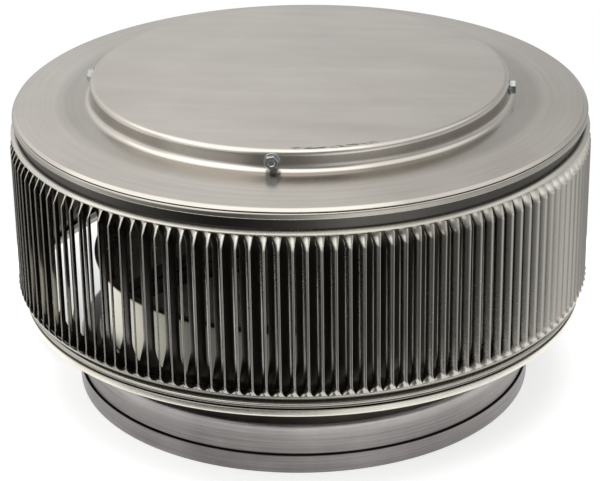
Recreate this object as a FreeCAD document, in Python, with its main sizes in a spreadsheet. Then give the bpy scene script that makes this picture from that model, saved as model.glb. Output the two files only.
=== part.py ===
import FreeCAD, Part
import Sketcher
import math
import os
from FreeCAD import Placement, Rotation, Vector

# Round static ventilator head for a 12 inch duct, in millimetres, +Z up.
# The origin is on the axis at the collar's lower edge, and the front is -Y.

DIMENSIONS = {
    # sheet thicknesses
    "sheet_wall": 1.0,
    "strip_wall": 0.8,
    "bar_wall": 2.0,
    # collar and its foot band
    "duct_r": 152.4,
    "collar_rise": 34.0,
    "shoulder_bend": 3.0,
    "neck_rise": 9.0,
    "band_rise": 12.5,
    # throat tube
    "shoulder_step": 14.4,
    "throat_top": 93.5,
    "rim_roll": 2.0,
    # rings that carry the two rows of louvres
    "seat_r": 187.0,
    "web_width": 9.0,
    "skirt_foot": 59.3,
    "skirt_rise": 13.8,
    "skirt_seat": 1.8,
    "skirt_recess": 2.2,
    "skirt_bead": 0.2,
    "hem_bead": 1.0,
    "hem_rise": 4.6,
    "bead_bevel": 0.5,
    "window_rise": 110.4,
    "head_recess": 7.0,
    "head_bead": 2.5,
    "head_bead_rise": 5.0,
    # outer row of louvres
    "outer_count": 140.0,
    "slat_reach": 5.0,
    "outer_chord": 6.6,
    "outer_turn": 31.0,
    "outer_twist": 8.0,
    "margin_lap": 0.5,
    "shelf_rise": 1.8,
    "shelf_depth": 3.4,
    # inner row of louvres
    "inner_count": 66.0,
    "row_step": 6.5,
    "inner_chord": 13.6,
    "inner_turn": 52.0,
    "inner_twist": 17.0,
    "inner_margin": 6.0,
    # cap
    "crown_step": 0.2,
    "crown_rise": 13.5,
    "crown_bend": 3.0,
    "crown_foot": 3.0,
    "brim_drop": 3.0,
    "brim_lap": 1.6,
    "brim_edge": 1.0,
    # upright bars that carry the cap
    "bar_width": 25.0,
    "bar_head": 4.0,
    "bar_corner": 4.0,
    "bar_gap": 0.1,
    "bar_count": 4.0,
    # fasteners
    "screw_r": 2.4,
    "screw_length": 12.0,
    "washer_r": 5.1,
    "washer_wall": 1.0,
    "hex_across": 8.0,
    "hex_rise": 3.3,
    "nut_width": 10.0,
    "nut_rise": 3.0,
    "rivet_r": 1.6,
    "rivet_head_r": 3.3,
    "rivet_head_rise": 1.2,
    "rivet_tail": 1.6,
    "rivet_drop": 13.5,
}
HEX_SIDES = 6
SHANK_SIDES = 8

doc = FreeCAD.newDocument("ventilator_head")
sheet = doc.addObject("Spreadsheet::Sheet", "sizes")
for row, (alias, number) in enumerate(DIMENSIONS.items(), start=1):
    sheet.set("A%d" % row, alias)
    sheet.set("B%d" % row, str(number))
    sheet.setAlias("B%d" % row, alias)
doc.recompute()


class Length:
    """A size as a number, together with the sheet expression that gives it."""

    def __init__(self, value, text):
        self.value = value
        self.text = text

    def __add__(self, other):
        other = length(other)
        return Length(self.value + other.value, "(%s + %s)" % (self.text, other.text))

    def __sub__(self, other):
        other = length(other)
        return Length(self.value - other.value, "(%s - %s)" % (self.text, other.text))

    def __mul__(self, other):
        other = length(other)
        return Length(self.value * other.value, "(%s * %s)" % (self.text, other.text))

    def __truediv__(self, other):
        other = length(other)
        return Length(self.value / other.value, "(%s / %s)" % (self.text, other.text))

    def root(self):
        return Length(math.sqrt(self.value), "sqrt(%s)" % self.text)


def length(number):
    if isinstance(number, Length):
        return number
    return Length(float(number), repr(float(number)))


def least(first, second):
    return Length(min(first.value, second.value), "min(%s; %s)" % (first.text, second.text))


class Sizes:
    """Driving dimensions read from the sheet by name."""

    def __getattr__(self, alias):
        return Length(float(sheet.get(alias)), "sizes." + alias)


size = Sizes()
ZERO = length(0)

# Heights and radii that several pieces share
collar_r = size.duct_r + size.sheet_wall
throat_r = size.duct_r - size.shoulder_step
crown_r = throat_r - size.crown_step
neck_r = throat_r + size.sheet_wall
neck_top = size.collar_rise + size.neck_rise
web_r = size.seat_r - size.web_width
web_low = size.skirt_foot + size.skirt_rise
web_high = web_low + size.window_rise
head_bead_low = web_high + size.head_recess
head_bead_top = head_bead_low + size.head_bead_rise
strip_r = size.seat_r - size.row_step
tip_r = size.seat_r + size.slat_reach
brim_r = size.seat_r + size.brim_lap
ring_top = head_bead_top + size.brim_edge
brim_z = ring_top + size.sheet_wall
brim_root_z = brim_z + size.brim_drop
crown_top = brim_root_z + size.crown_rise
screw_z = brim_root_z + size.crown_rise / 2
bar_reach = least(crown_r, throat_r) - size.sheet_wall - size.bar_gap
bar_face = (bar_reach * bar_reach - size.bar_width * size.bar_width / 4).root()
bar_back = bar_face - size.bar_wall
bar_top = crown_top - size.sheet_wall - size.bar_head
neck_rivet_z = size.collar_rise + size.neck_rise / 2
bar_rivet_z = size.throat_top - size.rivet_drop


def body(name):
    made = doc.addObject("PartDesign::Body", name)
    made.Label = name
    return made


def origin_feature(owner, role):
    return next(item for item in owner.Origin.OriginFeatures if item.Role == role)


def new_sketch(owner, name, plane, offset=None):
    sketch = owner.newObject("Sketcher::SketchObject", name)
    sketch.AttachmentSupport = [(origin_feature(owner, plane), "")]
    sketch.MapMode = "FlatFace"
    if offset is not None:
        sketch.setExpression("AttachmentOffset.Base.z", offset.text)
    return sketch


def bind(sketch, kind, places, number):
    """Dimension a sketch and tie it to the sheet; a zero stays a plain constraint."""
    index = sketch.addConstraint(Sketcher.Constraint(kind, *places, number.value))
    if number is not ZERO:
        sketch.setExpression("Constraints[%d]" % index, number.text)


def outline(sketch, corners):
    """Closed outline of straight sides through its (across, up) corners."""
    places = [Vector(across.value, up.value, 0) for across, up in corners]
    for index, start in enumerate(places):
        sketch.addGeometry(Part.LineSegment(start, places[(index + 1) % len(places)]))
    for index, (across, up) in enumerate(corners):
        sketch.addConstraint(Sketcher.Constraint("Coincident", index - 1 if index else
                                                 len(corners) - 1, 2, index, 1))
        bind(sketch, "DistanceX", (-1, 1, index, 1), across)
        bind(sketch, "DistanceY", (-1, 1, index, 1), up)


def spun(name, corners):
    """Sheet turned about the vertical axis from its section."""
    made = body(name)
    sketch = new_sketch(made, name + "_section", "XZ_Plane")
    outline(sketch, corners)
    turn = made.newObject("PartDesign::Revolution", name + "_turn")
    turn.Profile = sketch
    turn.ReferenceAxis = (sketch, ["V_Axis"])
    turn.Angle = 360
    sketch.Visibility = False
    doc.recompute()
    return made


def round_guide(sketch, up, radius, guide):
    """Circle on the sketch's upright axis, as an edge or as a guide only."""
    place = sketch.addGeometry(Part.Circle(Vector(0, up.value, 0), Vector(0, 0, 1), radius.value),
                               guide)
    sketch.addConstraint(Sketcher.Constraint("PointOnObject", place, 3, -2))
    bind(sketch, "DistanceY", (-1, 1, place, 3), up)
    bind(sketch, "Radius", (place,), radius)
    return place


def equal_sides(sketch, up, radius, count):
    """Regular outline inside a circle, with its first corner straight above the centre."""
    guide = round_guide(sketch, up, radius, True)
    points = [Vector(radius.value * math.sin(2 * math.pi * step / count),
                     up.value + radius.value * math.cos(2 * math.pi * step / count), 0)
              for step in range(count)]
    sides = [sketch.addGeometry(Part.LineSegment(start, points[(step + 1) % count]))
             for step, start in enumerate(points)]
    for step, side in enumerate(sides):
        following = sides[(step + 1) % count]
        sketch.addConstraint(Sketcher.Constraint("Coincident", side, 2, following, 1))
        sketch.addConstraint(Sketcher.Constraint("PointOnObject", side, 1, guide))
    for side in sides[1:]:
        sketch.addConstraint(Sketcher.Constraint("Equal", sides[0], side))
    sketch.addConstraint(Sketcher.Constraint("PointOnObject", sides[0], 1, -2))


def repeat_round(owner, name, originals, count):
    pattern = owner.newObject("PartDesign::PolarPattern", name)
    pattern.Originals = originals
    pattern.Axis = (origin_feature(owner, "Z_Axis"), [""])
    pattern.Angle = 360
    pattern.setExpression("Occurrences", count.text)
    owner.Tip = pattern
    doc.recompute()


def radial_holes(owner, name, heights, radius, count=None):
    """Holes for shanks through the wall towards +Y, repeated round the axis."""
    sketch = new_sketch(owner, name + "_outlines", "XZ_Plane")
    for up in heights:
        equal_sides(sketch, up, radius, SHANK_SIDES)
    cut = owner.newObject("PartDesign::Pocket", name)
    cut.Profile = sketch
    cut.Type = "ThroughAll"
    doc.recompute()
    if count is not None:
        repeat_round(owner, name + "_round", [cut], count)


def radial_pad(owner, name, start, run, draw):
    """Pad towards +Y from a radius, of the outline that draw puts in its sketch."""
    sketch = new_sketch(owner, name + "_outline", "XZ_Plane", ZERO - start)
    draw(sketch)
    pad = owner.newObject("PartDesign::Pad", name)
    pad.Profile = sketch
    pad.setExpression("Length", run.text)
    pad.Reversed = True
    doc.recompute()
    return pad


def collar():
    """Sleeve with a shoulder that turns in to a neck round the throat."""
    bend = size.shoulder_bend
    wall = size.sheet_wall
    made = spun("collar", [
        (size.duct_r, ZERO),
        (collar_r, ZERO),
        (collar_r, size.collar_rise - bend),
        (collar_r - bend, size.collar_rise),
        (neck_r, size.collar_rise),
        (neck_r, neck_top),
        (throat_r, neck_top),
        (throat_r, size.collar_rise - wall),
        (collar_r - bend, size.collar_rise - wall),
        (size.duct_r, size.collar_rise - bend),
    ])
    radial_holes(made, "neck_rivet_holes", [neck_rivet_z], size.rivet_r, size.bar_count)
    return made


def foot_band():
    outer = collar_r + size.sheet_wall
    return spun("foot_band", [
        (collar_r, ZERO),
        (outer, ZERO),
        (outer, size.band_rise),
        (collar_r, size.band_rise),
    ])


def throat_tube():
    """Plain tube with a rim that is rolled outwards."""
    wall = size.sheet_wall
    inner = throat_r - wall
    roll = size.rim_roll
    foot = size.collar_rise - wall
    made = spun("throat_tube", [
        (inner, foot),
        (throat_r, foot),
        (throat_r, size.throat_top - roll * 2),
        (throat_r + roll, size.throat_top - roll),
        (inner + roll, size.throat_top),
        (inner, size.throat_top),
    ])
    radial_holes(made, "rivet_holes", [neck_rivet_z, bar_rivet_z], size.rivet_r, size.bar_count)
    return made


def base_ring():
    """Web under both rows, a seat for the outer row, a recess, a bead and a hem bead."""
    wall = size.sheet_wall
    bevel = size.bead_bevel
    recess_r = size.seat_r - size.skirt_recess
    bead_r = size.seat_r + size.skirt_bead
    hem_r = size.seat_r + size.hem_bead
    seat_foot = web_low - size.skirt_seat
    bead_top = seat_foot - bevel * 4
    hem_top = size.skirt_foot + size.hem_rise
    return spun("base_ring", [
        (web_r, web_low - wall),
        (recess_r - wall, web_low - wall),
        (hem_r - wall * 2, size.skirt_foot),
        (hem_r, size.skirt_foot),
        (hem_r, hem_top),
        (recess_r + wall, hem_top + bevel),
        (bead_r, hem_top + bevel * 2),
        (bead_r, bead_top),
        (recess_r, bead_top + bevel * 2),
        (size.seat_r, seat_foot),
        (size.seat_r, web_low),
        (web_r, web_low),
    ])


def top_ring():
    """Web over both rows, a recessed wall and a bead under the cap's brim."""
    wall = size.sheet_wall
    bevel = size.bead_bevel
    bead_r = size.seat_r + size.head_bead
    return spun("top_ring", [
        (web_r, web_high),
        (size.seat_r, web_high),
        (size.seat_r, head_bead_low),
        (bead_r, head_bead_low + bevel * 2),
        (bead_r, head_bead_top - bevel),
        (size.seat_r, head_bead_top),
        (size.seat_r, ring_top),
        (size.seat_r - wall, ring_top),
        (size.seat_r - wall, web_high + wall),
        (web_r, web_high + wall),
    ])


def top_cap():
    """Raised crown with a bevelled edge and foot, on a wide brim with a turned-down edge."""
    wall = size.sheet_wall
    bend = size.crown_bend
    foot = size.crown_foot
    made = spun("top_cap", [
        (ZERO, crown_top - wall),
        (crown_r - bend, crown_top - wall),
        (crown_r - wall, crown_top - bend),
        (crown_r - wall, brim_root_z - wall),
        (brim_r - wall, brim_z - wall),
        (brim_r - wall, brim_z - wall - size.brim_edge),
        (brim_r, brim_z - wall - size.brim_edge),
        (brim_r, brim_z),
        (crown_r + foot, brim_root_z),
        (crown_r, brim_root_z + foot),
        (crown_r, crown_top - bend),
        (crown_r - bend, crown_top),
        (ZERO, crown_top),
    ])
    radial_holes(made, "screw_holes", [screw_z], size.screw_r, size.bar_count)
    return made


class Ring:
    """Points of a strip whose facets repeat round the axis."""

    def __init__(self, count, wall):
        self.count = count
        self.wall = wall
        self.half_step = math.pi / count

    def axes(self, index, side=0):
        angle = (2 * index + side) * self.half_step
        outward = Vector(math.cos(angle), math.sin(angle), 0)
        along = Vector(-math.sin(angle), math.cos(angle), 0)
        return outward, along

    def margin(self, index, side, skin, level):
        """Corner of the margin between two slats, on its outer (+1) or inner (-1) skin."""
        radius, up = level
        outward = self.axes(index, side)[0]
        reach = (radius + skin * self.wall / 2) / math.cos(self.half_step)
        return outward * reach + Vector(0, 0, up)

    def blade(self, index, side, skin, centre_r, chord, turn, up):
        """Corner of a slat's section, turned from the radial direction."""
        outward, along = self.axes(index)
        line = outward * math.cos(turn) + along * math.sin(turn)
        normal = outward * math.sin(turn) - along * math.cos(turn)
        return (outward * centre_r + line * (side * chord / 2)
                + normal * (skin * self.wall / 2) + Vector(0, 0, up))


def facet(*corners):
    return Part.Face(Part.makePolygon(list(corners) + [corners[0]]))


def louvre_row(name, count, centre_r, chord, turn, twist, low_levels, high_levels):
    """Strip lanced into upright slats, each twisted between two margins.

    A level is the (radius, height) of a margin's edge, the first at the slats' root."""
    ring = Ring(int(count.value), size.strip_wall.value)
    angle = math.radians(turn.value)
    section = (centre_r.value, chord.value, angle)
    faces = []
    for index in range(ring.count):
        middles = []
        for levels, way in ((low_levels, 1), (high_levels, -1)):
            levels = [(radius.value, up.value) for radius, up in levels]
            bend_z = levels[0][1] + way * twist.value
            root = {(side, skin): ring.margin(index, side, skin, levels[0])
                    for side in (-1, 1) for skin in (-1, 1)}
            middle = {(side, skin): ring.blade(index, side, skin, *section, bend_z)
                      for side in (-1, 1) for skin in (-1, 1)}
            middles.append(middle)
            for skin in (-1, 1):
                faces.append(facet(root[-1, skin], root[1, skin], middle[1, skin]))
                faces.append(facet(root[-1, skin], middle[1, skin], middle[-1, skin]))
                for near, far in zip(levels, levels[1:]):
                    faces.append(facet(ring.margin(index, -1, skin, near),
                                       ring.margin(index, 1, skin, near),
                                       ring.margin(index, 1, skin, far),
                                       ring.margin(index, -1, skin, far)))
            for side in (-1, 1):
                faces.append(facet(root[side, -1], root[side, 1], middle[side, 1]))
                faces.append(facet(root[side, -1], middle[side, 1], middle[side, -1]))
            faces.append(facet(*[ring.margin(index, side, skin, levels[-1])
                                 for side, skin in ((-1, -1), (1, -1), (1, 1), (-1, 1))]))
        low, high = middles
        for skin in (-1, 1):
            faces.append(facet(low[-1, skin], low[1, skin], high[1, skin], high[-1, skin]))
        for side in (-1, 1):
            faces.append(facet(low[side, -1], low[side, 1], high[side, 1], high[side, -1]))
    skin_shell = Part.makeShell(faces)
    skin_shell.sewShape()
    made = doc.addObject("Part::Feature", name)
    made.Label = name
    made.Shape = Part.Solid(skin_shell)
    return made


def outer_louvre_row():
    """Slats out to the greatest radius; the margins shelve in to the rings' walls."""
    half_reach = size.outer_chord * (math.cos(math.radians(size.outer_turn.value)) / 2)
    centre_r = tip_r - half_reach
    shelf_r = size.seat_r + size.strip_wall / 2
    root_r = shelf_r + size.shelf_depth
    low = web_low - size.margin_lap
    high = web_high + size.margin_lap
    return louvre_row("outer_louvre_row", size.outer_count, centre_r, size.outer_chord,
                      size.outer_turn, size.outer_twist,
                      [(root_r, low + size.shelf_rise), (shelf_r, low)],
                      [(root_r, high - size.shelf_rise), (shelf_r, high)])


def inner_louvre_row():
    """Wider slats, more closed, standing between the webs of the two rings."""
    return louvre_row("inner_louvre_row", size.inner_count, strip_r, size.inner_chord,
                      size.inner_turn, size.inner_twist,
                      [(strip_r, web_low + size.inner_margin), (strip_r, web_low)],
                      [(strip_r, web_high - size.inner_margin), (strip_r, web_high)])


def rectangle(sketch, half_width, low, high):
    """Rectangle centred on the sketch's upright axis."""
    left, right = -half_width.value, half_width.value
    corners = [Vector(left, low.value, 0), Vector(right, low.value, 0),
               Vector(right, high.value, 0), Vector(left, high.value, 0)]
    for index, start in enumerate(corners):
        sketch.addGeometry(Part.LineSegment(start, corners[(index + 1) % 4]))
    for index in range(4):
        sketch.addConstraint(Sketcher.Constraint("Coincident", index, 2, (index + 1) % 4, 1))
    for index, direction in enumerate(["Vertical", "Horizontal", "Vertical"], start=1):
        sketch.addConstraint(Sketcher.Constraint(direction, index))
    sketch.addConstraint(Sketcher.Constraint("Symmetric", 0, 1, 0, 2, -2))
    bind(sketch, "DistanceX", (0, 1, 0, 2), half_width * 2)
    bind(sketch, "DistanceY", (-1, 1, 0, 1), low)
    bind(sketch, "DistanceY", (-1, 1, 2, 1), high)


def support_bar(name, turn_deg):
    """Flat bar inside the throat and the crown, made at the rear and turned to its place."""
    made = body(name)
    sketch = new_sketch(made, name + "_section", "XY_Plane", size.collar_rise)
    rectangle(sketch, size.bar_width / 2, bar_back, bar_face)
    pad = made.newObject("PartDesign::Pad", name + "_run")
    pad.Profile = sketch
    pad.setExpression("Length", (bar_top - size.collar_rise).text)
    doc.recompute()
    corners = ["Edge%d" % number for number, edge in enumerate(pad.Shape.Edges, start=1)
               if abs(edge.tangentAt(edge.FirstParameter).y) > 0.99]
    bevel = made.newObject("PartDesign::Chamfer", name + "_corners")
    bevel.Base = (pad, corners)
    bevel.setExpression("Size", size.bar_corner.text)
    doc.recompute()
    radial_holes(made, name + "_rivet_holes", [neck_rivet_z, bar_rivet_z], size.rivet_r)
    radial_holes(made, name + "_screw_hole", [screw_z], size.screw_r)
    made.Placement = Placement(Vector(0, 0, 0), Rotation(Vector(0, 0, 1), turn_deg))
    return made


def rivets(name, up, outside):
    """Rivets through each bar and the walls outside it, with their heads at a radius."""
    made = body(name)
    tail_end = bar_back - size.rivet_tail
    shank = radial_pad(made, name + "_shank", tail_end, outside - tail_end,
                       lambda sketch: equal_sides(sketch, up, size.rivet_r, SHANK_SIDES))
    head = radial_pad(made, name + "_head", outside, size.rivet_head_rise,
                      lambda sketch: equal_sides(sketch, up, size.rivet_head_r, SHANK_SIDES))
    repeat_round(made, name + "_round", [shank, head], size.bar_count)
    return made


def crown_screws():
    """Hex washer-head screws through the crown's wall, the bars and their nuts."""
    made = body("crown_screws")
    corner_r = size.hex_across / math.sqrt(3)
    shank = radial_pad(made, "crown_screw_shank", crown_r - size.screw_length, size.screw_length,
                       lambda sketch: equal_sides(sketch, screw_z, size.screw_r, SHANK_SIDES))
    washer = radial_pad(made, "crown_screw_washer", crown_r, size.washer_wall,
                        lambda sketch: round_guide(sketch, screw_z, size.washer_r, False))
    head = radial_pad(made, "crown_screw_hex", crown_r + size.washer_wall, size.hex_rise,
                      lambda sketch: equal_sides(sketch, screw_z, corner_r, HEX_SIDES))
    repeat_round(made, "crown_screws_round", [shank, washer, head], size.bar_count)
    return made


def crown_nuts():
    """Square plate nuts clipped to the inner faces of the bars."""
    made = body("crown_nuts")
    half = size.nut_width / 2

    def draw(sketch):
        rectangle(sketch, half, screw_z - half, screw_z + half)
        equal_sides(sketch, screw_z, size.screw_r, SHANK_SIDES)

    plate = radial_pad(made, "crown_nut", bar_back - size.nut_rise, size.nut_rise, draw)
    repeat_round(made, "crown_nuts_round", [plate], size.bar_count)
    return made


pieces = [
    collar(),
    foot_band(),
    throat_tube(),
    base_ring(),
    top_ring(),
    top_cap(),
    outer_louvre_row(),
    inner_louvre_row(),
    support_bar("support_bar_rear", 0),
    support_bar("support_bar_left", 90),
    support_bar("support_bar_front", 180),
    support_bar("support_bar_right", 270),
    crown_screws(),
    crown_nuts(),
    rivets("bar_rivets", bar_rivet_z, throat_r),
    rivets("neck_rivets", neck_rivet_z, neck_r),
]

doc.recompute()
failed = [item.Name for item in doc.Objects if "Invalid" in item.State or "Error" in item.State]
if failed:
    raise RuntimeError("objects in error: " + ", ".join(failed))
os.makedirs("parts", exist_ok=True)
for piece in pieces:
    if piece.Shape.isNull() or not piece.Shape.isValid():
        raise RuntimeError("bad shape: " + piece.Label)
for piece in pieces:
    piece.Shape.exportStep("parts/%s.step" % piece.Label)
    print(piece.Label, len(piece.Shape.Solids), "solids", round(piece.Shape.Volume, 1))
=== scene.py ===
import math

import bmesh
import bpy
from mathutils import Matrix, Vector


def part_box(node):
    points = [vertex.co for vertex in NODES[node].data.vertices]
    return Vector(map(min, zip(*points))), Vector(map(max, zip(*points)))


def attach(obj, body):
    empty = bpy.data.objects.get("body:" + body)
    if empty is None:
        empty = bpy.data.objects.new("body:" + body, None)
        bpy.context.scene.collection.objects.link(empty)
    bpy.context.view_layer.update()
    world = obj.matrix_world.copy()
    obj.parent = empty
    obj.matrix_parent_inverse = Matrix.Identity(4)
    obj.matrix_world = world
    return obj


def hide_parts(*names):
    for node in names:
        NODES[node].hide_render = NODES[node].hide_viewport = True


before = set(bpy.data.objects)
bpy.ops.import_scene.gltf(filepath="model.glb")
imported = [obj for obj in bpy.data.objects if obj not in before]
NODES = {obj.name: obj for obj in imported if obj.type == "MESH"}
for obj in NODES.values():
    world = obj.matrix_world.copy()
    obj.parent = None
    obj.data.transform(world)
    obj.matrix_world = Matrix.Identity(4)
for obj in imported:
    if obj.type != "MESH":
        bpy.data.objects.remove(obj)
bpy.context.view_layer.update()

MM = 0.001

# Sizes in millimetres that the pieces share; heights are above the collar's foot
SHEET = 1.0
STRIP = 0.8
CROWN_R = 137.8
CROWN_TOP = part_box("top_cap")[1].z / MM
BRIM_ROOT_Z = CROWN_TOP - 13.5
BRIM_Z = BRIM_ROOT_Z - 3.0
SCREW_Z = BRIM_ROOT_Z + 6.75
SEAT_R = 187.0
BRIM_R = SEAT_R + 1.6
WEB_R = SEAT_R - 9.0
WEB_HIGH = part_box("inner_louvre_row")[1].z / MM
WEB_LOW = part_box("inner_louvre_row")[0].z / MM
BEAD_LOW = WEB_HIGH + 7.0
SKIRT_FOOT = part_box("base_ring")[0].z / MM
HEM_TOP = SKIRT_FOOT + 4.6
THROAT_R = 138.0
THROAT_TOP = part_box("throat_tube")[1].z / MM
DUCT_R = 152.4
SLEEVE_R = DUCT_R + 0.5
COLLAR_RISE = 34.0
NECK_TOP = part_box("collar")[1].z / MM
BAND_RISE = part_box("foot_band")[1].z / MM

UPRIGHT = Matrix.Identity(4)
TURN_STEPS = 360
ON_AXIS = 1e-6


def rounded(corners, steps=6):
    """Closed outline from (across, up, radius) corners, with each corner rounded."""
    points = []
    for index, corner in enumerate(corners):
        here = Vector(corner[:2])
        radius = corner[2] if len(corner) == 3 else 0.0
        if radius <= 0.0:
            points.append(here)
            continue
        before = Vector(corners[index - 1][:2]) - here
        after = Vector(corners[(index + 1) % len(corners)][:2]) - here
        half = before.angle(after) / 2
        reach = min(radius / math.tan(half), before.length * 0.5, after.length * 0.5)
        start = here + before.normalized() * reach
        end = here + after.normalized() * reach
        for step in range(steps + 1):
            t = step / steps
            points.append(start * (1 - t) ** 2 + here * (2 * t * (1 - t)) + end * t ** 2)
    return points


def ring_of(work, radius, up, steps, place=UPRIGHT):
    """Corners round an axis at a radius and a height in millimetres, or one point on the axis."""
    if radius < ON_AXIS:
        return [work.verts.new(place @ Vector((0, 0, up * MM)))]
    ring = []
    for step in range(steps):
        angle = 2 * math.pi * step / steps
        ring.append(work.verts.new(place @ Vector((radius * MM * math.cos(angle),
                                                   radius * MM * math.sin(angle), up * MM))))
    return ring


def bridge(work, lower, upper):
    """Faces between two rings of corners, either of which may be a single point."""
    steps = max(len(lower), len(upper))
    if steps == 1:
        return
    for step in range(steps):
        after = (step + 1) % steps
        if len(lower) == 1:
            work.faces.new((lower[0], upper[step], upper[after]))
        elif len(upper) == 1:
            work.faces.new((lower[step], lower[after], upper[0]))
        else:
            work.faces.new((lower[step], lower[after], upper[after], upper[step]))


def closed_tube(work, rings):
    """Solid through rings of corners, with flat ends."""
    for lower, upper in zip(rings, rings[1:]):
        bridge(work, lower, upper)
    work.faces.new(rings[0])
    work.faces.new(rings[-1])


def turn_into(work, outline, steps=TURN_STEPS, place=UPRIGHT):
    """Turns a closed outline in millimetres about the upright axis of a place into a bmesh."""
    rings = [ring_of(work, point.x, point.y, steps, place) for point in outline]
    for index, ring in enumerate(rings):
        bridge(work, ring, rings[(index + 1) % len(rings)])


def mesh_object(name, work, sharp=40.0):
    """Object from a bmesh, smooth but for edges sharper than an angle in degrees."""
    mesh = bpy.data.meshes.new(name)
    bmesh.ops.recalc_face_normals(work, faces=work.faces)
    work.to_mesh(mesh)
    work.free()
    mesh.polygons.foreach_set("use_smooth", [True] * len(mesh.polygons))
    mesh.set_sharp_from_angle(angle=math.radians(sharp))
    made = bpy.data.objects.new(name, mesh)
    bpy.context.scene.collection.objects.link(made)
    return made


def turned(name, outline):
    work = bmesh.new()
    turn_into(work, outline)
    return mesh_object(name, work)


def top_cap():
    """Crown and brim, with a lip that turns down at the brim's edge."""
    inside = CROWN_R - SHEET
    lip_foot = BRIM_Z - 1.8
    return turned("crown_and_brim", rounded([
        (0, CROWN_TOP),
        (CROWN_R, CROWN_TOP, 4.0),
        (CROWN_R, BRIM_ROOT_Z + 0.1, 5.5),
        (BRIM_R - 2.3, BRIM_Z + 0.2, 0.8),
        (BRIM_R - 0.2, BRIM_Z - 1.4, 0.6),
        (BRIM_R, lip_foot, 0.2),
        (BRIM_R - SHEET, lip_foot, 0.3),
        (BRIM_R - SHEET, BRIM_Z - SHEET, 0.6),
        (inside, BRIM_ROOT_Z - SHEET, 4.0),
        (inside, CROWN_TOP - SHEET, 3.5),
        (0, CROWN_TOP - SHEET),
    ], 8))


def top_ring():
    """Wall above the slats, with a bead near its top and a web that turns inward at its foot."""
    wall = SEAT_R - SHEET
    bead_r = SEAT_R + 2.5
    bead_top = BEAD_LOW + 4.9
    rim_r = SEAT_R - 0.2
    rim_top = BEAD_LOW + 6.0
    return turned("bead_ring", rounded([
        (WEB_R, WEB_HIGH, 0.3),
        (SEAT_R, WEB_HIGH, 1.0),
        (SEAT_R, BEAD_LOW, 0.8),
        (bead_r, BEAD_LOW + 0.8, 1.3),
        (bead_r, bead_top - 0.4, 1.5),
        (rim_r, bead_top + 0.1, 0.5),
        (rim_r, rim_top, 0.3),
        (wall, rim_top, 0.2),
        (wall, WEB_HIGH + SHEET, 0.8),
        (WEB_R, WEB_HIGH + SHEET, 0.3),
    ]))


def base_ring():
    """Skirt under the slats: from its foot up it has a hem, a bead, a groove and the web."""
    groove_r = SEAT_R - 2.2
    bead_foot_r = SEAT_R + 0.2
    return turned("skirt_ring", rounded([
        (WEB_R, WEB_LOW - SHEET, 0.3),
        (groove_r - SHEET, WEB_LOW - SHEET, 1.0),
        (SEAT_R - 1.0, SKIRT_FOOT, 0.4),
        (SEAT_R + 0.7, SKIRT_FOOT, 0.6),
        (SEAT_R + 1.0, SKIRT_FOOT + 0.9, 1.2),
        (SEAT_R + 0.9, HEM_TOP - 0.2, 0.7),
        (groove_r + 1.0, HEM_TOP + 0.4, 0.35),
        (SEAT_R + 0.3, HEM_TOP + 1.0, 0.7),
        (bead_foot_r, WEB_LOW - 7.6, 0.8),
        (SEAT_R + 1.8, WEB_LOW - 5.6, 1.6),
        (bead_foot_r, WEB_LOW - 4.2, 0.8),
        (groove_r, WEB_LOW - 3.7, 0.4),
        (groove_r, WEB_LOW - 1.2, 0.6),
        (SEAT_R, WEB_LOW - 1.0, 0.4),
        (SEAT_R, WEB_LOW, 0.8),
        (WEB_R, WEB_LOW, 0.3),
    ]))


def collar():
    """Sleeve over the duct, with a shoulder and a neck that holds the throat."""
    neck_r = THROAT_R + SHEET
    under_shoulder = COLLAR_RISE - SHEET
    return turned("collar_sleeve", rounded([
        (DUCT_R, 0, 0.2),
        (SLEEVE_R, 0, 0.3),
        (SLEEVE_R, COLLAR_RISE, 3.0),
        (neck_r, COLLAR_RISE, 2.0),
        (neck_r, NECK_TOP, 0.3),
        (THROAT_R, NECK_TOP, 0.3),
        (THROAT_R, under_shoulder, 2.0),
        (DUCT_R, under_shoulder, 2.0),
    ]))


def foot_band():
    """Rolled hem: it stands off the sleeve at its top, which leaves a narrow groove."""
    groove_foot = BAND_RISE - 6.0
    return turned("collar_foot_band", rounded([
        (SLEEVE_R, 0, 0.2),
        (SLEEVE_R + 1.4, 0, 0.4),
        (SLEEVE_R + 1.6, 1.0, 0.5),
        (SLEEVE_R + 1.6, BAND_RISE - 0.8, 1.0),
        (SLEEVE_R + 1.4, BAND_RISE, 0.4),
        (SLEEVE_R + 0.9, BAND_RISE, 0.3),
        (SLEEVE_R + 0.8, groove_foot, 0.4),
        (SLEEVE_R, groove_foot, 0.2),
    ]))


def throat_tube():
    """Straight tube with a rolled rim."""
    inner = THROAT_R - SHEET
    roll_r = inner + 4.0
    return turned("throat_sleeve", rounded([
        (inner, COLLAR_RISE - SHEET, 0.2),
        (THROAT_R, COLLAR_RISE - SHEET, 0.2),
        (THROAT_R, THROAT_TOP - 4.2, 0.6),
        (roll_r, THROAT_TOP - 4.0, 2.0),
        (roll_r, THROAT_TOP, 2.0),
        (inner, THROAT_TOP, 2.0),
    ]))


# How far along its twist a slat is at each section, and the columns of corners across it, whose
# outermost two are thinner, so that the slat's edges are rounded
SHARES = (0, 0.03, 0.08, 0.15, 0.24, 0.35, 0.48, 0.62, 0.78, 0.9, 1.0)
COLUMNS = (-1.0, -0.93, -0.45, 0.0, 0.45, 0.93, 1.0)
HALF_THICK = STRIP / 2
EDGE_HALF_THICK = STRIP / 5


def ease(t):
    """Goes from 0 to 1 with t, slowly at both ends."""
    return t * t * (3 - 2 * t)


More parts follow.
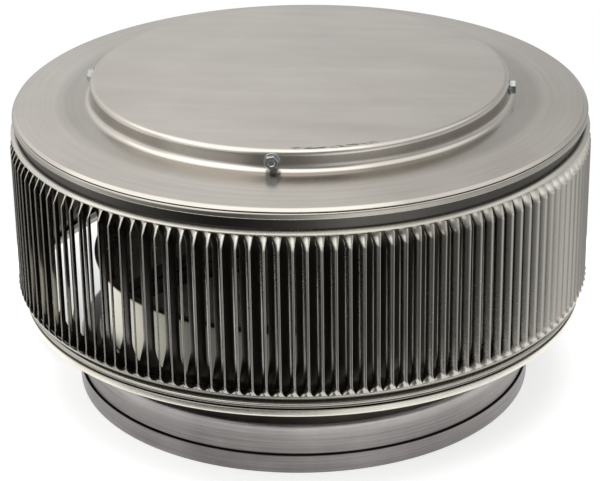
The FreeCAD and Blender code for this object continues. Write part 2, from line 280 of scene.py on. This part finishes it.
class Twist:
    """End of a slat: its root's radius, height and width, the way to the middle (1 up, -1 down)
    and the twist's length. It turns evenly with haste and onset 1, sooner with more haste, and
    sooner near its root with less onset."""

    def __init__(self, radius, up, way, wide, run, haste=1.6, onset=1.0):
        self.radius = radius
        self.up = up
        self.way = way
        self.wide = wide
        self.run = run
        self.haste = haste
        self.onset = onset

    def turned_by(self, share):
        """Part of the whole turn that is done after a share of the run."""
        return 1 - (1 - share ** self.onset) ** self.haste


class Row:
    """Row of upright slats: their number, the radius of their middles, their width, their turn
    from the radial direction in degrees, and how far the middle of their width stands out."""

    def __init__(self, count, centre_r, chord, turn, bow=0.0):
        self.count = count
        self.centre_r = centre_r
        self.chord = chord
        self.turn = turn
        self.bow = bow

    def section(self, end, share, outward, along):
        """Corners of a slat at a share of one end's twist, in millimetres."""
        spin = math.radians(90 - self.turn) * end.turned_by(share)
        part = ease(share)
        wide = end.wide * (1 - part) + self.chord * part
        radius = end.radius * (1 - share) + self.centre_r * share
        middle = outward * radius + Vector((0, 0, end.up + end.way * share * end.run))
        line = along * math.cos(spin) + outward * math.sin(spin)
        normal = outward * math.cos(spin) - along * math.sin(spin)
        corners = []
        for skin, order in ((1, COLUMNS), (-1, COLUMNS[::-1])):
            for column in order:
                thick = HALF_THICK if abs(column) < 1.0 else EDGE_HALF_THICK
                raised = skin * thick + self.bow * part * (0.5 - column * column)
                corners.append(middle + line * (column * wide / 2) + normal * raised)
        return corners

    def build(self, name, low, high, margins):
        """Strip of slats between two turned margins; each slat starts flat in the strip and
        turns away over a short twist."""
        work = bmesh.new()
        for margin in margins:
            turn_into(work, margin)
        stations = [(low, share) for share in SHARES] + [(high, share) for share in reversed(SHARES)]
        for index in range(self.count):
            angle = 2 * math.pi * index / self.count
            outward = Vector((math.cos(angle), math.sin(angle), 0))
            along = Vector((-math.sin(angle), math.cos(angle), 0))
            closed_tube(work, [[work.verts.new(corner * MM) for corner in
                                self.section(end, share, outward, along)] for end, share in stations])
        return mesh_object(name, work, 50)


OUTER_CHORD = 6.2
OUTER_TURN = 35.0
OUTER_TIP_R = SEAT_R + 5.0
OUTER_ROW = Row(count=140, centre_r=OUTER_TIP_R - OUTER_CHORD * math.cos(math.radians(OUTER_TURN)) / 2,
                chord=OUTER_CHORD, turn=OUTER_TURN, bow=0.3)
INNER_ROW = Row(count=66, centre_r=SEAT_R - 6.5, chord=16.4, turn=60.0)
# Height of the inner strip's margins, and how far its slats' roots run into them
INNER_MARGIN = 6.0
ROOT_OVERLAP = 0.4


def outer_louvre_row():
    """Slats that stand out from the rings, between flared margins."""
    low = WEB_LOW - 0.5
    high = WEB_HIGH + 0.5
    root_r = SEAT_R + 3.8
    low_margin = rounded([
        (SEAT_R, low, 0.2),
        (SEAT_R + 2.0, low - 0.1, 0.5),
        (root_r, low + 0.4, 0.6),
        (root_r + 0.1, low + 2.2, 0.3),
        (root_r - 0.8, low + 2.2, 0.3),
        (root_r - 1.0, low + 0.9, 0.4),
    ], 4)
    high_margin = rounded([
        (SEAT_R, high, 0.2),
        (SEAT_R + 0.8, high + 0.1, 0.4),
        (root_r + 0.2, high - 1.6, 0.4),
        (root_r + 0.2, high - 2.2, 0.3),
        (root_r - 0.6, high - 2.4, 0.3),
        (SEAT_R + 0.7, high - 0.9, 0.3),
        (SEAT_R + 0.5, high - 3.9, 0.2),
        (SEAT_R, high - 3.9, 0.2),
    ], 4)
    return OUTER_ROW.build("outer_louvres",
                           Twist(root_r - 0.6, low + 1.9, 1, wide=8.3, run=6.5, haste=2.8),
                           Twist(SEAT_R + 0.3, high - 3.6, -1, wide=6.6, run=8.3, haste=1.0, onset=0.52),
                           (low_margin, high_margin))


def inner_louvre_row():
    """Wider slats behind the outer ones, between plain margins."""
    inner = INNER_ROW.centre_r - HALF_THICK
    outer = INNER_ROW.centre_r + HALF_THICK
    margins = [rounded([(inner, low, 0.2), (outer, low, 0.2), (outer, high, 0.2), (inner, high, 0.2)], 3)
               for low, high in ((WEB_LOW, WEB_LOW + INNER_MARGIN), (WEB_HIGH - INNER_MARGIN, WEB_HIGH))]
    root = INNER_MARGIN - ROOT_OVERLAP
    low, high = (Twist(INNER_ROW.centre_r, up, way, wide=INNER_ROW.chord, run=15.0)
                 for up, way in ((WEB_LOW + root, 1), (WEB_HIGH - root, -1)))
    return INNER_ROW.build("inner_louvres", low, high, margins)


# Crown screws, in millimetres; heights are from the crown's wall outward, each level of the hex
# is its share of the corners' radius and its height, and each screw has its own turn in degrees
WASHER_R = 5.1
WASHER_THICK = 1.0
WASHER_STEPS = 32
HEX_ACROSS_FLATS = 8.0
HEX_CORNER_R = HEX_ACROSS_FLATS / math.sqrt(3)
HEX_LEVELS = ((1.0, 0.9), (1.0, 3.7), (0.9, 4.3), (0.55, 4.3), (0.4, 3.9))
SHANK_R = 2.4
SHANK_STEPS = 16
SHANK_ENDS = (-12.0, 0.2)
SCREW_SPINS = (12, 31, 47, 5)


def screw_mesh(work, place):
    """Hex washer head with a dished top, and a plain shank."""
    washer = rounded([(0, 0), (WASHER_R, 0, 0.3), (WASHER_R, WASHER_THICK, 0.5), (0, WASHER_THICK)], 4)
    turn_into(work, washer, WASHER_STEPS, place)
    closed_tube(work, [ring_of(work, HEX_CORNER_R * share, up, 6, place) for share, up in HEX_LEVELS])
    closed_tube(work, [ring_of(work, SHANK_R, up, SHANK_STEPS, place) for up in SHANK_ENDS])


def crown_screws():
    """Four screws on radial lines in the crown's wall, each with its head turned otherwise."""
    work = bmesh.new()
    for index, spin in enumerate(SCREW_SPINS):
        azimuth = math.radians(90 * index)
        outward = Vector((math.sin(azimuth), -math.cos(azimuth), 0))
        seat = outward * CROWN_R * MM + Vector((0, 0, SCREW_Z * MM))
        screw_mesh(work, Matrix.Translation(seat) @ outward.to_track_quat("Z", "Y").to_matrix().to_4x4()
                   @ Matrix.Rotation(math.radians(spin), 4, "Z"))
    return mesh_object("hex_screws", work, 30)


class Graph:
    """Node tree with short ways to add nodes. An input is another node's output or a constant."""

    def __init__(self, tree):
        self.nodes = tree.nodes
        self.links = tree.links

    def fill(self, node, inputs):
        """Feeds a node's inputs, given by name or number."""
        for socket, value in inputs.items():
            if isinstance(value, bpy.types.NodeSocket):
                self.links.new(value, node.inputs[socket])
            else:
                node.inputs[socket].default_value = value
        return node

    def node(self, kind, inputs=None):
        return self.fill(self.nodes.new(kind), inputs or {})

    def math(self, kind, first, second):
        made = self.nodes.new("ShaderNodeMath")
        made.operation = kind
        return self.fill(made, {0: first, 1: second}).outputs["Value"]

    def vector_math(self, kind, inputs):
        made = self.nodes.new("ShaderNodeVectorMath")
        made.operation = kind
        return self.fill(made, inputs).outputs["Value"]

    def mix(self, share, first, second, kind="FLOAT", blend="MIX"):
        made = self.nodes.new("ShaderNodeMix")
        made.data_type = kind
        made.blend_type = blend
        return self.fill(made, {"Factor": share, "A": first, "B": second}).outputs["Result"]

    def noise(self, coords, scale, detail):
        return self.node("ShaderNodeTexNoise", {"Vector": coords, "Scale": scale, "Detail": detail,
                                                "Roughness": 0.55}).outputs["Fac"]

    def spread(self, value, low, high, from_low=0.3, from_high=0.7):
        """Value moved from one range to another, and kept inside it; noise fills 0.3 to 0.7."""
        return self.node("ShaderNodeMapRange", {"Value": value, "From Min": from_low, "From Max": from_high,
                                                "To Min": low, "To Max": high}).outputs["Result"]

    def within(self, value, low, high, soft):
        """One between low and high, and nothing outside, with soft ends."""
        return self.math("MULTIPLY", self.spread(value, 0.0, 1.0, low - soft, low + soft),
                         self.spread(value, 1.0, 0.0, high - soft, high + soft))

    def mapped(self, coords, scale, place=(0, 0, 0)):
        return self.node("ShaderNodeMapping", {"Vector": coords, "Scale": scale,
                                               "Location": place}).outputs["Vector"]

    def length(self, vector):
        return self.vector_math("LENGTH", {0: vector})


class Finish:
    """How a sheet looks: its colour, roughness, grain in cycles for a metre along x, y and z,
    the strength of its smudges and that of its relief.

    painted_bands gives (low, high, soft, tone): heights in millimetres between which the sheet is
    darkened to that tone as painted shade, or brightened to it as a painted highlight.
    depth gives the radii between which painted shade clears outward, side the two
    distances to the right between which painted shade deepens, scuffed puts dark scuffs on the
    lid, and spun is the radius outside which the grain runs round the axis."""

    def __init__(self, colour, rough, grain, smudge=0.06, bump=0.1, painted_bands=(), depth=None, side=None,
                 scuffed=False, spun=None):
        self.colour = colour
        self.rough = rough
        self.grain = grain
        self.smudge = smudge
        self.bump = bump
        self.painted_bands = painted_bands
        self.depth = depth
        self.side = side
        self.scuffed = scuffed
        self.spun = spun


# Scales of the noises that all sheets have, in cycles for a metre
CLOUD_SCALE = 9.0
AGE_SCALE = 14.0
SPECK_SCALE = 420.0
# How much clouds and specks change the roughness, and how deep the relief is in metres
GLOSS_CLOUD = 0.05
GLOSS_SPECK = 0.02
RELIEF_DEEP = 0.0004
RELIEF_SPECK = 0.4
# Share of red, green and blue that is left where the sheet has aged most
AGED = (0.96, 0.955, 0.93)
# Grain round the axis: cycles for a metre outward, and for a radian of turn
SPUN_RINGS = 330.0
SPUN_TURN = 1.6
# Scuffs on the lid: their azimuths in degrees, radii in millimetres, scale and tone
SCUFF_AZIMUTHS = (5, 27)
SCUFF_RADII = (132.0, 134.9)
SCUFF_DASHES = (160, 700, 200)
SCUFF_TONE = 0.12
# Tones of the deepest painted shade, inward between the slats and to the right on the throat
PAINTED_SHADE_DEEP = 0.3
PAINTED_SHADE_SIDE = 0.15


class SheetMaterial:
    """Material of a sheet: metal with grain, clouds, specks, and painted light and shade, all made from its
    place.
    """

    def __init__(self, name, finish):
        self.finish = finish
        self.material = bpy.data.materials.new(name)
        self.material.use_nodes = True
        self.graph = Graph(self.material.node_tree)
        self.coords = self.graph.node("ShaderNodeTexCoord").outputs["Object"]
        axes = self.graph.node("ShaderNodeSeparateXYZ", {"Vector": self.coords})
        self.x, self.y, self.z = axes.outputs

    def away(self):
        """Distance from the upright axis."""
        flat = self.graph.node("ShaderNodeCombineXYZ", {"X": self.x, "Y": self.y})
        return self.graph.length(flat.outputs["Vector"])

    def azimuth(self):
        """Angle from the front, positive to the right."""
        return self.graph.math("ARCTAN2", self.x, self.graph.math("MULTIPLY", self.y, -1.0))

    def grain(self):
        """Straight grain, which runs round the axis outside the finish's spun radius."""
        graph = self.graph
        straight = graph.mapped(self.coords, self.finish.grain)
        if self.finish.spun is None:
            return straight
        away = self.away()
        rings = graph.node("ShaderNodeCombineXYZ", {
            "X": graph.math("MULTIPLY", away, SPUN_RINGS),
            "Y": graph.math("MULTIPLY", self.azimuth(), SPUN_TURN)})
        start = self.finish.spun * MM
        return graph.mix(graph.spread(away, 0.0, 1.0, start, start + 1.0 * MM), straight,
                         rings.outputs["Vector"], "VECTOR")

    def scuffs(self):
        """One on short dark dashes along the lid's front edge."""
        graph = self.graph
        first, last = (math.radians(degrees) for degrees in SCUFF_AZIMUTHS)
        inner, outer = (radius * MM for radius in SCUFF_RADII)
        place = graph.math("MULTIPLY", graph.within(self.azimuth(), first, last, math.radians(1)),
                           graph.within(self.away(), inner, outer, 0.4 * MM))
        broken = graph.noise(graph.mapped(self.coords, SCUFF_DASHES), 1.0, 2.0)
        return graph.math("MULTIPLY", place, graph.spread(broken, 0.0, 1.0, 0.50, 0.54))

    def shade(self, cloud, fine):
        """Tone of the sheet from smudges, painted light and shade, and scuffs; it is 1 where the sheet is
        clean and nothing is painted.
        """
        graph = self.graph
        finish = self.finish
        smudges = graph.math("ADD", graph.spread(cloud, -finish.smudge, finish.smudge),
                             graph.spread(fine, -finish.smudge * 0.5, finish.smudge * 0.5))
        shade = graph.math("ADD", smudges, 1.0)
        tones = []
        # Bands by height: tones under 1 are painted shade, tones over 1 painted highlights
        for low, high, soft, tone in finish.painted_bands:
            inside = graph.within(self.z, low * MM, high * MM, soft * MM)
            tones.append(graph.spread(inside, 1.0, tone, 0.0, 1.0))
        if finish.scuffed:
            tones.append(graph.spread(self.scuffs(), 1.0, SCUFF_TONE, 0.0, 1.0))
        # Painted shade that clears outward, between the slats
        if finish.depth:
            inner, outer = finish.depth
            tones.append(graph.spread(self.away(), PAINTED_SHADE_DEEP, 1.0, inner * MM, outer * MM))
        # Painted shade that deepens towards the right
        if finish.side:
            left, right = finish.side
            tones.append(graph.spread(self.x, 1.0, PAINTED_SHADE_SIDE, left * MM, right * MM))
        for tone in tones:
            shade = graph.math("MULTIPLY", shade, tone)
        return shade

    def tint(self, shade):
        """Colour of the metal, partly aged, times a shade."""
        graph = self.graph
        aged = [part * left for part, left in zip(self.finish.colour, AGED)]
        colour = graph.mix(graph.spread(graph.noise(self.coords, AGE_SCALE, 3.0), 0.0, 1.0),
                           (*self.finish.colour, 1), (*aged, 1), "RGBA")
        grey = graph.node("ShaderNodeCombineColor", {"Red": shade, "Green": shade, "Blue": shade})
        return graph.mix(1.0, colour, grey.outputs["Color"], "RGBA", "MULTIPLY")

    def build(self):
        graph = self.graph
        finish = self.finish
        cloud = graph.noise(self.coords, CLOUD_SCALE, 5.0)
        fine = graph.noise(self.grain(), 1.0, 3.0)
        speck = graph.noise(self.coords, SPECK_SCALE, 2.0)
        gloss = graph.math("ADD",
                           graph.spread(cloud, finish.rough - GLOSS_CLOUD, finish.rough + GLOSS_CLOUD),
                           graph.spread(speck, -GLOSS_SPECK, GLOSS_SPECK))
        relief = graph.node("ShaderNodeBump", {
            "Strength": finish.bump, "Distance": RELIEF_DEEP,
            "Height": graph.math("ADD", fine, graph.math("MULTIPLY", speck, RELIEF_SPECK))})
        graph.fill(self.material.node_tree.nodes["Principled BSDF"], {
            "Base Color": self.tint(self.shade(cloud, fine)), "Roughness": gloss,
            "Normal": relief.outputs["Normal"], "Metallic": 1.0})
        return self.material


def sheet_metal(name, finish):
    return SheetMaterial(name, finish).build()


EVEN_GRAIN = (60, 60, 60)
STRIP_GRAIN = (60, 60, 12)
ALUMINIUM = (0.555, 0.522, 0.480)
MILL = sheet_metal("mill_sheet", Finish(ALUMINIUM, 0.21, (14, 50, 50), 0.06, 0.02))
# Bands by height: a painted highlight on the brim's turned-down edge, painted shade on the brim beside the
# crown, and painted highlights on the crown's foot and top edge; the scuffs are wear
CAP_METAL = sheet_metal("cap_sheet", Finish(
    ALUMINIUM, 0.21, (10, 60, 50), 0.09, 0.03, scuffed=True, spun=139.0, painted_bands=(
        (BRIM_Z - 2.0, BRIM_Z - 0.1, 0.15, 1.25),
        (BRIM_ROOT_Z - 1.1, BRIM_ROOT_Z + 0.1, 0.25, 0.78),
        (BRIM_ROOT_Z + 0.4, BRIM_ROOT_Z + 3.2, 0.5, 1.4),
        (CROWN_TOP - 3.4, CROWN_TOP - 0.4, 0.3, 1.35),
    )))
# Painted shade: the throat grows darker from its left towards the front and right, where the slats keep
# light off it
THROAT_METAL = sheet_metal("throat_sheet", Finish(
    (0.60, 0.575, 0.50), 0.30, EVEN_GRAIN, 0.09, 0.03, side=(-122.0, -55.0)))
# Bands by height: painted shade on the wall under the top bead, in the groove over the hem, on the lower
# bead's face and in the recess under the slats' feet; a painted highlight on the hem; slightly darker tones
# on the top bead and the lower bead's top slope
RING_METAL = sheet_metal("ring_sheet", Finish(
    (0.56, 0.535, 0.485), 0.23, EVEN_GRAIN, 0.09, 0.03, painted_bands=(
        (WEB_HIGH + 0.8, BEAD_LOW - 0.1, 0.3, 0.19),
        (BEAD_LOW + 0.2, BEAD_LOW + 4.6, 0.4, 0.95),
        (SKIRT_FOOT - 1.0, HEM_TOP - 0.4, 0.3, 1.15),
        (HEM_TOP - 0.1, HEM_TOP + 0.8, 0.3, 0.15),
        (HEM_TOP + 1.0, WEB_LOW - 6.0, 0.6, 0.3),
        (WEB_LOW - 5.4, WEB_LOW - 4.1, 0.3, 0.95),
        (WEB_LOW - 3.9, WEB_LOW + 2.0, 0.3, 0.3),
    )))
# Painted shade darkens the slats towards the axis, between them; bands by height put painted shade at the
# lower margin's edge and at the upper margin's top, and painted highlights on the slats' feet, their
# twisted tops and the upper margin
STRIP_METAL = sheet_metal("louvre_strip_sheet", Finish(
    (0.41, 0.393, 0.36), 0.24, STRIP_GRAIN, 0.08, 0.005, depth=(SEAT_R - 1.0, SEAT_R + 2.4), painted_bands=(
        (WEB_LOW - 1.0, WEB_LOW + 0.7, 0.2, 0.3),
        (WEB_LOW + 1.0, WEB_LOW + 6.0, 0.8, 1.1),
        (WEB_HIGH - 10.5, WEB_HIGH - 3.0, 2.0, 2.5),
        (WEB_HIGH - 1.7, WEB_HIGH + 0.3, 0.3, 1.7),
        (WEB_HIGH + 0.2, WEB_HIGH + 2.0, 0.2, 0.6),
    )))
# Near-black colour is painted shade: the inner slats sit in the shade behind the outer ones
INNER_STRIP_METAL = sheet_metal("inner_strip_sheet", Finish((0.11, 0.10, 0.084), 0.35, STRIP_GRAIN))
# Bands by height: painted shade in the groove at the foot band's top, and painted light on the sleeve's
# upper part, against the shade under the skirt
BRUSHED = sheet_metal("brushed_sheet", Finish(
    (0.25, 0.236, 0.234), 0.34, (12, 12, 1000), 0.34, 0.50, painted_bands=(
        (BAND_RISE - 0.1, BAND_RISE + 1.0, 0.3, 0.12),
        (COLLAR_RISE - 5.0, COLLAR_RISE + 9.0, 5.0, 1.7),
    )))
ZINC = sheet_metal("zinc_plate", Finish((0.48, 0.50, 0.51), 0.25, (400, 400, 400)))


def dress(piece, node, material):
    """Gives a piece its material, and puts it in the place of a node of the solids."""
    piece.data.materials.append(material)
    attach(piece, "root")
    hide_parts(node)


dress(top_cap(), "top_cap", CAP_METAL)
dress(top_ring(), "top_ring", RING_METAL)
dress(base_ring(), "base_ring", RING_METAL)
dress(throat_tube(), "throat_tube", THROAT_METAL)
dress(collar(), "collar", BRUSHED)
dress(foot_band(), "foot_band", BRUSHED)
dress(outer_louvre_row(), "outer_louvre_row", STRIP_METAL)
dress(inner_louvre_row(), "inner_louvre_row", INNER_STRIP_METAL)
dress(crown_screws(), "crown_screws", ZINC)

for name in ("support_bar_front", "support_bar_right", "support_bar_rear", "support_bar_left",
             "bar_rivets", "neck_rivets"):
    NODES[name].material_slots[0].material = MILL
NODES["crown_nuts"].material_slots[0].material = ZINC

# Floor, in metres: its glow grows towards its rim, and is less on a patch seen through the left slots,
# which is a painted shadow of the head on the floor
FLOOR_R = 0.30
FLOOR_GLOW = 0.6
RIM_GLOW = 0.5
RIM_START, RIM_END = 0.17, 0.29
PATCH_X, PATCH_Y = -0.155, 0.12
PATCH_WIDE, PATCH_DEEP = 0.065, 0.115
PATCH_FADE = (0.85, 1.25)
PATCH_SHARE = 0.38


def studio_floor():
    """Pale round floor, which the camera and the metal see lighter, but not inside the collar."""
    work = bmesh.new()
    bmesh.ops.create_circle(work, cap_ends=True, segments=128, radius=FLOOR_R)
    mesh = bpy.data.meshes.new("studio_floor")
    work.to_mesh(mesh)
    work.free()
    floor = bpy.data.objects.new("studio_floor", mesh)
    bpy.context.scene.collection.objects.link(floor)
    material = bpy.data.materials.new("studio_floor_paint")
    material.use_nodes = True
    graph = Graph(material.node_tree)
    paths = graph.node("ShaderNodeLightPath").outputs
    coords = graph.node("ShaderNodeTexCoord").outputs["Object"]
    away = graph.length(coords)
    patch = graph.mapped(coords, (1 / PATCH_WIDE, 1 / PATCH_DEEP, 1),
                         (-PATCH_X / PATCH_WIDE, -PATCH_Y / PATCH_DEEP, 0))
    seen = graph.math("MAXIMUM", paths["Is Camera Ray"],
                      graph.math("MAXIMUM", paths["Is Glossy Ray"], paths["Is Transmission Ray"]))
    glow = graph.math("ADD", graph.spread(away, 0.0, RIM_GLOW, RIM_START, RIM_END), FLOOR_GLOW)
    # The glow is cut inside the collar, and lowered on the patch as a painted shadow of the head
    for share in (graph.spread(away, 0.0, 1.0, DUCT_R * MM, (DUCT_R + 1.0) * MM),
                  graph.spread(graph.length(patch), PATCH_SHARE, 1.0, *PATCH_FADE), seen):
        glow = graph.math("MULTIPLY", glow, share)
    graph.fill(graph.nodes["Principled BSDF"], {
        "Base Color": (0.8, 0.8, 0.79, 1), "Roughness": 0.9,
        "Emission Color": (1, 1, 1, 1), "Emission Strength": glow})
    mesh.materials.append(material)


studio_floor()

# Camera at the photo's angle
CAMERA_AZIMUTH = math.radians(7.2)
CAMERA_RISE = math.radians(24.67)
CAMERA_RIGHT = Vector((math.cos(CAMERA_AZIMUTH), math.sin(CAMERA_AZIMUTH), 0))
CAMERA_FRONT = Vector((math.sin(CAMERA_AZIMUTH), -math.cos(CAMERA_AZIMUTH), 0))
CAMERA_AWAY = CAMERA_FRONT * math.cos(CAMERA_RISE) + Vector((0, 0, math.sin(CAMERA_RISE)))

# Light levels round the object as (degrees, level): zero is in front, and the right is positive
LOW_LIGHT = ((-180, 0.5), (-120, 0.6), (-95, 0.85), (-80, 0.55), (-70, 0.34), (-56, 0.22), (-43, 0.10),
             (-28, 0.07), (-12, 0.18), (3, 0.36), (19, 1.0), (40, 1.0), (60, 0.6), (180, 0.5))
HIGH_LIGHT = ((-180, 0.88), (-160, 0.9), (-100, 0.8), (-50, 0.6), (-24, 0.2), (26, 0.2), (50, 0.35),
              (120, 0.42), (158, 0.5), (171, 0.7), (180, 0.88))
ASIDE = ((-160, 0.0), (-130, 1.0), (-32, 1.0), (-20, 0.0), (22, 0.0), (34, 1.0), (130, 1.0), (160, 0.0))
OVERHEAD_LEVEL = 0.95
DIFFUSE_LEVEL = 0.6
# Heights of a direction, where 1 is straight up, between which the low light gives way to the
# high, and the high light to the overhead one, which comes down further at the sides
HIGH_START_END = (-0.12, 0.40)
OVERHEAD_START_END = (0.62, 0.80)
ASIDE_START_END = (0.43, 0.66)


def ring_of_light(graph, turn, stops):
    """Level round the object from (degrees, level) stops."""
    ramp = graph.node("ShaderNodeValToRGB", {"Fac": turn})
    while len(ramp.color_ramp.elements) < len(stops):
        ramp.color_ramp.elements.new(0.5)
    for element, (degrees, level) in zip(ramp.color_ramp.elements, stops):
        element.position = (degrees + 180) / 360
        element.color = (level, level, level, 1)
    return ramp.outputs["Color"]


def world_light():
    """Soft studio: white for the camera, even for diffuse light, and for reflections white
    behind and above and darker towards the camera, most of all low at the front left."""
    world = bpy.data.worlds.new("studio")
    bpy.context.scene.world = world
    world.use_nodes = True
    graph = Graph(world.node_tree)
    paths = graph.node("ShaderNodeLightPath").outputs
    direction = graph.node("ShaderNodeTexCoord").outputs["Generated"]
    height = graph.node("ShaderNodeSeparateXYZ", {"Vector": direction}).outputs["Z"]
    rightward, frontward = (graph.vector_math("DOT_PRODUCT", {0: direction, 1: axis})
                            for axis in (CAMERA_RIGHT, CAMERA_FRONT))
    turn = graph.spread(graph.math("ARCTAN2", rightward, frontward), 0.0, 1.0, -math.pi, math.pi)
    level = graph.mix(graph.spread(height, 0.0, 1.0, *HIGH_START_END),
                      ring_of_light(graph, turn, LOW_LIGHT), ring_of_light(graph, turn, HIGH_LIGHT))
    overhead = graph.math("MAXIMUM", graph.spread(height, 0.0, 1.0, *OVERHEAD_START_END),
                          graph.math("MULTIPLY", graph.spread(height, 0.0, 1.0, *ASIDE_START_END),
                                     ring_of_light(graph, turn, ASIDE)))
    clear = graph.math("MAXIMUM", paths["Is Camera Ray"], paths["Is Transmission Ray"])
    level = graph.mix(overhead, level, OVERHEAD_LEVEL)
    level = graph.mix(paths["Is Diffuse Ray"], level, DIFFUSE_LEVEL)
    graph.fill(graph.nodes["Background"], {"Color": (1, 1, 1, 1), "Strength": graph.mix(clear, level, 1.0)})


world_light()

LAMP_TARGET = Vector((0, 0, 0.1))


def area_light(name, place, side, power):
    """Square lamp that faces the object, in metres and watts."""
    data = bpy.data.lights.new(name, "AREA")
    data.shape = "SQUARE"
    data.size = side
    data.energy = power
    lamp = bpy.data.objects.new(name, data)
    lamp.location = place
    lamp.rotation_euler = (LAMP_TARGET - Vector(place)).to_track_quat("-Z", "Y").to_euler()
    bpy.context.scene.collection.objects.link(lamp)


area_light("soft_overhead", (-0.6, -0.3, 1.9), 3.0, 14)
area_light("soft_front_left", (-1.5, -1.6, 0.9), 1.9, 5)

# The photo's point at AIM_PIXEL, counted from its upper left corner, is AIM
CAMERA_REACH = 1.493
AIM = Vector((0, 0, 89.3 * MM))
FOCAL_PIXELS = 2191.0
PHOTO_WIDTH = 600.0
PHOTO_HEIGHT = 481.0
AIM_PIXEL = (302.0, 243.6)
CAMERA_ROLL = math.radians(-0.83)


def photo_camera():
    """Camera that was fitted to the rims' ellipses in the photo."""
    data = bpy.data.cameras.new("photo_camera")
    data.sensor_width = 36.0
    data.sensor_fit = "HORIZONTAL"
    data.lens = FOCAL_PIXELS / PHOTO_WIDTH * data.sensor_width
    data.shift_x = -(AIM_PIXEL[0] - PHOTO_WIDTH / 2) / PHOTO_WIDTH
    data.shift_y = (AIM_PIXEL[1] - PHOTO_HEIGHT / 2) / PHOTO_WIDTH
    data.clip_end = 50
    made = bpy.data.objects.new("photo_camera", data)
    place = AIM + CAMERA_AWAY * CAMERA_REACH
    facing = (-CAMERA_AWAY).to_track_quat("-Z", "Y").to_matrix().to_4x4()
    made.matrix_world = Matrix.Translation(place) @ facing @ Matrix.Rotation(CAMERA_ROLL, 4, "Z")
    bpy.context.scene.collection.objects.link(made)
    bpy.context.scene.camera = made


photo_camera()
bpy.context.scene.view_settings.view_transform = "Standard"
